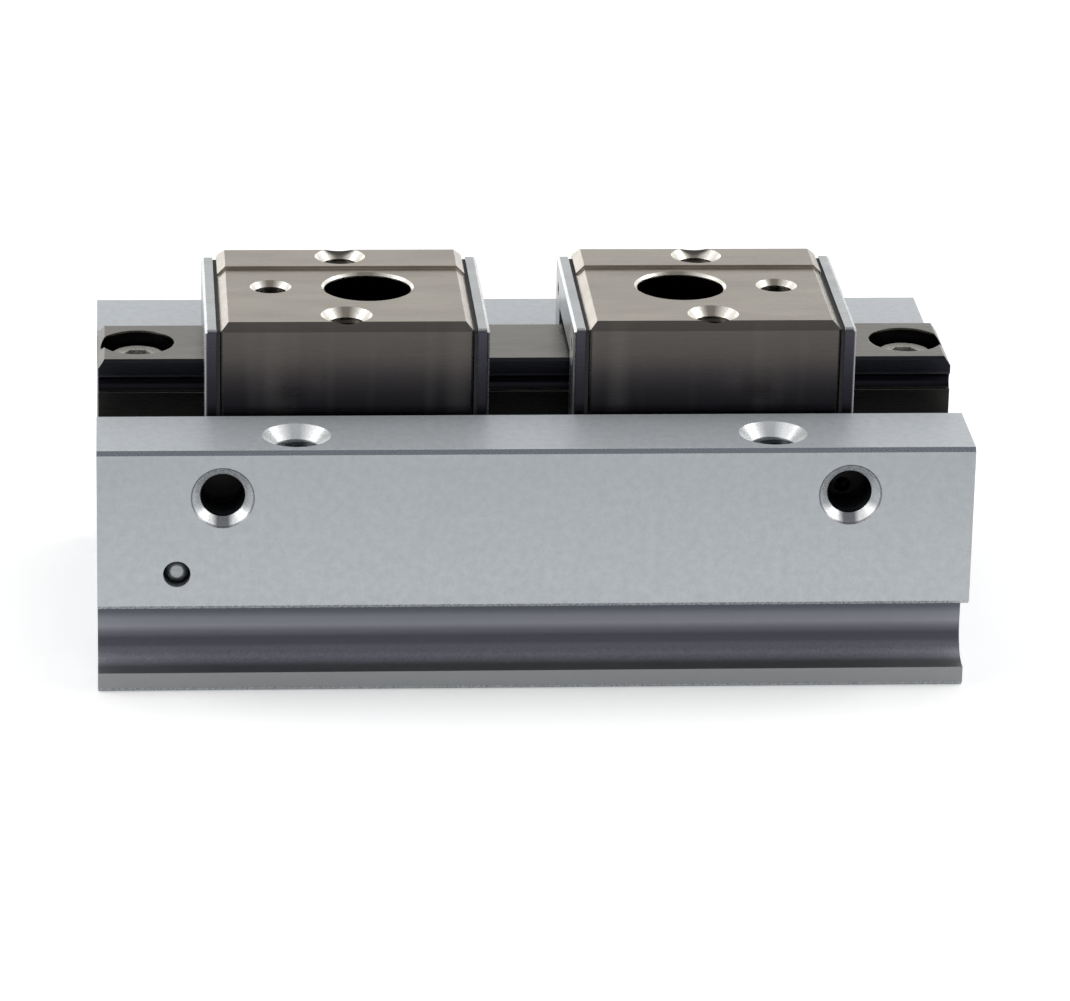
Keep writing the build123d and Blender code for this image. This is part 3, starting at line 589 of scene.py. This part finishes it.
# Each part's sides list the heights and tones of its painted reflection and shade.
ground_parts = {
    "block_steel": {
        "name": "ground_stainless_steel",
        "tones": ("867F75", "A39C91"),
        "rubbed": "C4C0B8",
        "sides": [
            (21.9, "262428"), (24.6, "2E2C31"), (25.6, "2A282C"), (26.6, "302E31"), (28.4, "413D3E"),
            (30.4, "514D4B"), (32.6, "565250"), (33.5, "5A5754"),
        ],
        "outside_mm": (10.2, 10.5),
        "streak": 0.22,
        "bores": {"middles_mm": [INNER_BORES], "reach_mm": 4.3, "heights_mm": (20.0, 33.1)},
    },
    "rail_steel": {
        "name": "ground_bearing_steel",
        "tones": ("5A5853", "747069"),
        "rubbed": "9A9A96",
        "sides": [
            (21.4, "2C2C28"), (24.4, "2C2C2A"), (24.8, "16161A"), (25.8, "16161C"), (26.1, "46464E"),
            (26.4, "222228"), (27.9, "26282C"),
        ],
        "outside_mm": (3.8, 4.2),
        "bores": {
            "middles_mm": [INNER_BORES, OUTER_BORES],
            "reach_mm": 3.65,
            "heights_mm": (21.0, 27.7),
        },
    },
    "plate_steel": {
        "name": "stamped_bright_steel",
        "tones": ("9EA1A2", "BCBFC0"),
        "rubbed": "D4D6D8",
        "sides": [(22.0, "2C2B31"), (30.0, "3A3840"), (33.0, "44424A")],
        "outside_mm": (11.0, 11.2),
    },
}
for slot, recipe in ground_parts.items():
    finishes[slot] = ground_steel(**recipe)
print("ground finishes:", [finishes[slot].name for slot in ground_parts])

# %% [markdown]
# Small metal parts
#
# The rest are everyday finishes, most of them inside the body. Each entry has its name, two tones, the
# sizes of its clouds and grain in millimetres, its range of roughness, the depth of its grain and,
# where it has them, its rubbed edges. The comment above it says what that gives the eye. Plating marks
# and lapping marks are finer than 0.05 mm on the real parts, too fine to show, so no grain here is
# under 0.1 mm.

# %% Small metal parts
# The painted shade in the recesses of the small parts.
SMALL_PARTS_SHADE = "141312"
METALLIC_UNDER_ZINC = 0.5
small_parts = {
    # Zinc plate: a soft, light grey that glints at the rims of the screw heads.
    "screw_steel": (
        "zinc_plated_steel", ("B2B0A8", "D0CEC6"), 0.8, 0.12, (0.22, 0.36), 0.002, ("E4E2DA", 0.06)),
    # Lapped balls: the smoothest surface of all, a small mirror.
    "ball_steel": ("polished_ball_steel", ("8A8C8E", "A2A4A6"), 1.0, 0.3, (0.16, 0.24), 0.0003),
    # Oiled spring steel: nearly black, with a dull sheen and bright worn edges.
    "spring_steel": (
        "oiled_spring_steel", ("3A3A3C", "5A5A5C"), 1.5, 0.2, (0.3, 0.48), 0.001, ("8C8C8C", 0.08)),
    # Turned pistons: a middle grey with fine rings across their length.
    "piston_steel": (
        "turned_stainless_steel", ("8E8C88", "AEACA8"), 3.0, (0.12, 2.0, 2.0), (0.25, 0.42), 0.001),
    # Hardened gear steel: a dark, slightly warm grey, brighter on the tips of the teeth.
    "hardened_steel": (
        "hardened_gear_steel", ("5C5A58", "848280"), 1.2, 0.1, (0.28, 0.42), 0.001, ("B0AEAC", 0.06)),
    # Sintered bronze: brown and matte, speckled by its pores.
    "washer_bronze": ("sintered_bronze", ("7A5A34", "A07C4C"), 0.6, 0.12, (0.35, 0.55), 0.003),
    # Nickel plate on the magnets: a warm, even shine.
    "magnet_metal": (
        "nickel_plated_magnet", ("8A8880", "A8A69E"), 1.0, 0.2, (0.15, 0.28), 0.001, ("C4C2BC", 0.05)),
}
for slot, recipe in small_parts.items():
    finishes[slot], tree, _, sockets = machined(*recipe, painted_recess_shade=SMALL_PARTS_SHADE)
    if slot == "screw_steel":
        # Like the oxide on the body, the zinc scatters light.
        feed(tree, sockets["Metallic"], METALLIC_UNDER_ZINC)
print("small metal finishes:", len(small_parts))

# %% [markdown]
# Turned end caps
#
# The caps that close the bores are turned on a lathe, which leaves fine rings about the bore's axis.
# The grain could be bent round with polar coordinates, but noise on the distance from the axis alone
# gives the same rings. The real rings are about 0.05 mm apart, and are drawn 0.09 mm wide so that they
# show.

# %% Turned end caps
cap_low, cap_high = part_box("bore_cap_rear_left")
BORE_ASIDE, BORE_UP = (cap_low.y + cap_high.y) / 2, (cap_low.z + cap_high.z) / 2


def rings_about_bores(tree, place):
    """Coordinates for turned parts: only the distance from the nearer bore's axis."""
    parts = add_node(tree, "SeparateXYZ", [place]).outputs
    above = add_node(tree, "Math", [parts["Z"], BORE_UP], operation="SUBTRACT")
    radius = from_axis(tree, past_nearer(tree, parts["Y"], BORE_ASIDE), above)
    return add_node(tree, "CombineXYZ", [radius])


finishes["cap_aluminium"] = machined(
    "turned_aluminium",
    tones=("9A9DA0", "BABDC0"),
    cloud_mm=2.5,
    grain_mm=0.09,
    roughness=(0.28, 0.42),
    depth_mm=0.003,
    edge=("D4D6D8", 0.08),
    # Painted shade in the caps' recesses.
    painted_recess_shade="16171A",
    place_of=rings_about_bores,
)[0]
print("bores in mm:", in_millimetres([(BORE_ASIDE, BORE_UP)])[0])

# %% [markdown]
# Tapped holes
#
# The ridges of a thread lie in the dark of their hole. A dark tone for each metal, painted shade of
# that dark, lets only the crests glint, as they do in the real holes.

# %% Tapped holes
tapped = {}
# Dark tones: the painted shade of the deep holes.
for metal, tones in (("aluminium", ("1E2022", "34363A")), ("steel", ("2A2724", "48443E"))):
    tapped[metal] = machined(f"tapped_{metal}", tones, 0.6, 0.1, (0.25, 0.4), 0.002)[0]
print("tapped finishes:", [finish.name for finish in tapped.values()])

# %% [markdown]
# Rubber and plastic
#
# Seals, O-rings and bumpers are moulded nitrile rubber: nearly black, dull, with a faint bloom. The
# ball retainers and the wear rings are moulded acetal, pale and slightly waxy. Neither is metal, so
# they take the same recipe with the metallic setting off, and without rubbed edges or painted shade.

# %% Rubber and plastic
for slot, recipe in (
    ("black_rubber", ("nitrile_rubber", ("0C0C0E", "19191B"), 0.9, 0.12, (0.55, 0.75), 0.004)),
    ("bearing_plastic", ("acetal_plastic", ("D2CFC2", "E4E1D6"), 1.4, 0.15, (0.35, 0.5), 0.002)),
):
    finishes[slot], tree, _, sockets = machined(*recipe)
    feed(tree, sockets["Metallic"], 0.0)
print("finishes:", len(finishes))

# %% [markdown]
# Dress the CAD parts
#
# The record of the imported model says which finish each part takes. Each part could be named here, but
# the script follows that list, so a part can never be forgotten or dressed twice.

# %% Assign the finishes
for entry in frame["record"]["subparts"]:
    mesh = frame["nodes"][entry["node"]].data
    mesh.materials.clear()
    mesh.materials.append(finishes[entry["material_slot"]])

# %% [markdown]
# Screw threads
#
# The air ports and the fixing holes are tapped. A tapped hole shows as bright rings that wind down into
# the dark. A bump could draw them, but it has no height of its own, so the threads are real geometry.
# One small triangle, the ridge's profile, is drawn beside the hole's axis, and a Screw modifier winds
# it down the hole, one turn for each pitch. The modifier is applied, the two open ends are closed, and
# the ridge stays where it was wound. Its foot is just inside the wall, so no gap shows. The ridge is
# about half as deep as a real thread, because the CAD hole has the drilled size and the crests stand
# inside it.

# %% Helpers for a new piece


def pick_nothing():
    """Deselect every object, so that an operator acts on the new piece alone."""
    bpy.ops.object.select_all(action="DESELECT")


def close_ends():
    """Close the open ends of the piece in hand, and turn its faces outwards."""
    bpy.ops.object.mode_set(mode="EDIT")
    bpy.ops.mesh.select_all(action="DESELECT")
    bpy.ops.mesh.select_mode(type="EDGE")
    bpy.ops.mesh.select_non_manifold()
    bpy.ops.mesh.edge_face_add()
    bpy.ops.mesh.select_all(action="SELECT")
    bpy.ops.mesh.normals_make_consistent(inside=False)
    bpy.ops.object.mode_set(mode="OBJECT")


print("helpers:", pick_nothing.__name__, close_ends.__name__)

# %% Helper for threads
RIDGE_DEPTH = 0.22 * MILLIMETRE
FOOT_IN_WALL = 0.03 * MILLIMETRE
HALF_FOOT = 0.42
STEPS_A_TURN = 36
SPARE_TURNS = 0.9
SMOOTH_UP_TO = math.radians(30)
DIRECTIONS = {"Y": (Vector((0, 1, 0)), 1), "Z": (Vector((0, 0, 1)), -1)}


def wind_thread(name, mouth, axis, radius, pitch, depth, body, slot, finish):
    """A thread ridge in a hole. mouth is where it begins, and axis is Y or Z, the way the hole runs."""
    pick_nothing()
    bpy.ops.mesh.primitive_circle_add(vertices=3, radius=pitch / 2, fill_type="NOTHING", location=mouth)
    ridge = bpy.context.object
    ridge.name = name
    along, inwards = DIRECTIONS[axis]
    across = Vector((1, 0, 0))
    foot, crest = radius + FOOT_IN_WALL, radius - RIDGE_DEPTH
    profile = ((foot, -HALF_FOOT), (crest, 0.0), (foot, HALF_FOOT))
    for vertex, (out, share) in zip(ridge.data.vertices, profile):
        vertex.co = across * out + along * (share * pitch)
    winding = ridge.modifiers.new("winding", "SCREW")
    winding.axis = axis
    winding.screw_offset = pitch * inwards
    winding.iterations = int(depth / pitch - SPARE_TURNS)
    winding.steps = winding.render_steps = STEPS_A_TURN
    winding.use_merge_vertices = False
    bpy.ops.object.modifier_apply(modifier="winding")
    close_ends()
    bpy.ops.object.transform_apply(location=True, rotation=True, scale=True)
    bpy.ops.object.shade_smooth_by_angle(angle=SMOOTH_UP_TO)
    ridge.data.materials.append(finish)
    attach(ridge, body)


print("ridges are", round(RIDGE_DEPTH / MILLIMETRE, 2), "mm deep")

# %% [markdown]
# Threads in the body
#
# Two air ports open in the front face, and four fixing holes open in the ledges. All are cut for a 5 mm
# screw with a pitch of 0.8 mm, and each thread begins half a pitch below its chamfer or countersink.

# %% Threads in the body
SIDES, ROWS = (("left", -1), ("right", 1)), (("front", -1), ("rear", 1))
DRILL_5, PITCH_5 = 2.1 * MILLIMETRE, 0.8 * MILLIMETRE
PORT_CHAMFER, PORT_DEPTH = 0.9 * MILLIMETRE, 4.6 * MILLIMETRE
LEDGE_ALONG, LEDGE_ASIDE = 22.5 * MILLIMETRE, 18.0 * MILLIMETRE
LEDGE_COUNTERSINK, LEDGE_DEPTH = 1.15 * MILLIMETRE, 4.8 * MILLIMETRE
in_body = {"radius": DRILL_5, "pitch": PITCH_5, "body": "base", "slot": "body_aluminium"}
in_body["finish"] = tapped["aluminium"]

for side, sign in SIDES:
    mouth = Vector((sign * PORT_ASIDE, body_low.y + PORT_CHAMFER + PITCH_5 / 2, PORT_UP))
    wind_thread(f"{side}_port_thread", mouth, "Y", depth=PORT_DEPTH, **in_body)
ledge_start = body_high.z - LEDGE_COUNTERSINK - PITCH_5 / 2
for side, sign in SIDES:
    for row, row_sign in ROWS:
        mouth = Vector((sign * LEDGE_ALONG, row_sign * LEDGE_ASIDE, ledge_start))
        wind_thread(f"{side}_{row}_ledge_thread", mouth, "Z", depth=LEDGE_DEPTH, **in_body)
threads = [piece.name for piece in bpy.data.objects if piece.name.endswith("_thread")]
print("threads in the body:", len(threads))

# %% [markdown]
# Threads in the fingers
#
# Each finger has two holes for a 4 mm screw with a pitch of 0.7 mm, one in the low front part of its
# top and one in the raised strip along the rear. These ridges ride on their finger, so they slide with
# it.

# %% Threads in the fingers
DRILL_4, PITCH_4 = 1.65 * MILLIMETRE, 0.7 * MILLIMETRE
FINGER_COUNTERSINK, FINGER_DEPTH = 0.8 * MILLIMETRE, 5.2 * MILLIMETRE
FINGER_HOLE_ASIDE = 8.5 * MILLIMETRE
STRIP_RISE = 0.3 * MILLIMETRE
in_finger = {"radius": DRILL_4, "pitch": PITCH_4, "depth": FINGER_DEPTH, "slot": "block_steel"}
in_finger["finish"] = tapped["steel"]

tops = {"front": block_high.z - STRIP_RISE, "rear": block_high.z}
for side, sign in SIDES:
    for row, row_sign in ROWS:
        start = tops[row] - FINGER_COUNTERSINK - PITCH_4 / 2
        mouth = Vector((sign * BLOCK_MIDDLE, row_sign * FINGER_HOLE_ASIDE, start))
        wind_thread(f"{side}_finger_{row}_thread", mouth, "Z", body=f"{side}_finger", **in_finger)
threads = [piece.name for piece in bpy.data.objects if piece.name.endswith("_thread")]
print("threads in all:", len(threads))

# %% [markdown]
# The floor
#
# The photograph is a catalogue picture: white all round, soft light from everywhere, and hardly a
# shadow. A wide floor of matte white paint stands for the table and catches what shadow there is. More
# lamps would whiten it too, but they would bleach the gripper, so the floor glows a little where the
# camera looks at it.

# %% Floor
FLOOR_SIDE = 6.0
FLOOR_GAP = 0.02 * MILLIMETRE
WHITE = "FFFFFF"
PAINT_TONES, PAINT_CLOUD_MM = ("FCFCFC", WHITE), 60.0
PAINT_ROUGHNESS, PAINT_SHINE = 0.9, 0.1
LIFT_TO_WHITE = 0.14
pick_nothing()
bpy.ops.mesh.primitive_plane_add(size=FLOOR_SIDE, location=(0.0, 0.0, body_low.z - FLOOR_GAP))
floor = bpy.context.object
floor.name = "studio_floor"
bpy.ops.object.transform_apply(location=True, rotation=True, scale=True)

paint, tree, coordinates, sockets = new_finish("matte_white_paint")
clouds = patches(tree, coordinates["Object"], PAINT_CLOUD_MM, *CLOUD_RANGE)
feed(tree, sockets["Base Color"], add_node(tree, "Mix", [clouds, *PAINT_TONES], data_type="RGBA"))
feed(tree, sockets["Roughness"], PAINT_ROUGHNESS)
feed(tree, sockets["Specular IOR Level"], PAINT_SHINE)
seen = add_node(tree, "LightPath").outputs["Is Camera Ray"]
glow = add_node(tree, "Math", [seen, LIFT_TO_WHITE], operation="MULTIPLY")
feed(tree, sockets["Emission Strength"], glow)
feed(tree, sockets["Emission Color"], WHITE)
floor.data.materials.append(paint)
print("floor is", FLOOR_SIDE, "m wide")

# %% [markdown]
# The world
#
# The world is white where the camera looks at it. Reflections see that white too, up to well above the
# horizon, and then a dimmer ceiling, so polished tops come out darker than they would under a plain
# white sky. The light that the world sheds on the gripper is weaker still, which leaves room for the
# lamps.

# %% World
SHED_LIGHT = 0.5
CEILING = 0.6
CEILING_STARTS, CEILING_FULL = 0.55, 0.8
world = bpy.data.worlds.new("white_studio")
bpy.context.scene.world = world
world.use_nodes = True
world.cycles.sampling_method = "NONE"
sky = world.node_tree
sky.nodes.clear()
rays = add_node(sky, "LightPath").outputs
upwards = add_node(sky, "SeparateXYZ", [add_node(sky, "TexCoord").outputs["Generated"]]).outputs["Z"]
wall = add_node(sky, "MapRange", [upwards, CEILING_STARTS, CEILING_FULL, 1.0, CEILING])
through_glass = rays["Is Transmission Ray"]
mirrored = add_node(sky, "Math", [rays["Is Glossy Ray"], through_glass], operation="MAXIMUM")
unseen = add_node(sky, "Mix", [mirrored, SHED_LIGHT, wall])
strength = add_node(sky, "Mix", [rays["Is Camera Ray"], unseen, 1.0])
add_node(sky, "OutputWorld", [add_node(sky, "Background", [WHITE, strength])])
print("world sheds", SHED_LIGHT)

# %% [markdown]
# The lamps
#
# A large soft box overhead and a fill in front only light the gripper, and don't show in its metal. Two
# soft boxes stand left and right and two low behind, and they draw the bright edges on the steel.
# Together they light an upward face so that its colour comes out about as it is written, under the
# Standard view.

# %% Lamps


def hang_soft_box(name, place, size, brightness, in_mirrors=True):
    """A rectangular lamp that faces the gripper. brightness 1 is the white of the background."""
    width, height = size
    pick_nothing()
    bpy.ops.object.light_add(type="AREA", location=place)
    lamp = bpy.context.object
    lamp.name = name
    lamp.data.shape = "RECTANGLE"
    lamp.data.size, lamp.data.size_y = width, height
    lamp.data.energy = brightness * math.pi * width * height
    lamp.visible_glossy = in_mirrors
    towards = Vector((0.0, 0.0, body_high.z)) - Vector(place)
    lamp.rotation_euler = towards.to_track_quat("-Z", "Y").to_euler()


hang_soft_box("overhead_soft_box", (0.0, 0.05, 0.75), size=(0.8, 0.6), brightness=0.9, in_mirrors=False)
hang_soft_box("front_fill", (0.1, -0.9, 0.55), size=(0.6, 0.4), brightness=2.0, in_mirrors=False)
for side, sign in SIDES:
    hang_soft_box(f"{side}_soft_box", (sign * 0.68, 0.02, 0.46), size=(0.6, 0.35), brightness=3.4)
    hang_soft_box(f"{side}_rear_soft_box", (sign * 0.36, 0.95, 0.14), size=(0.3, 0.26), brightness=1.5)
bpy.context.scene.view_settings.view_transform = "Standard"

# %% [markdown]
# The end

# %% The end
import json
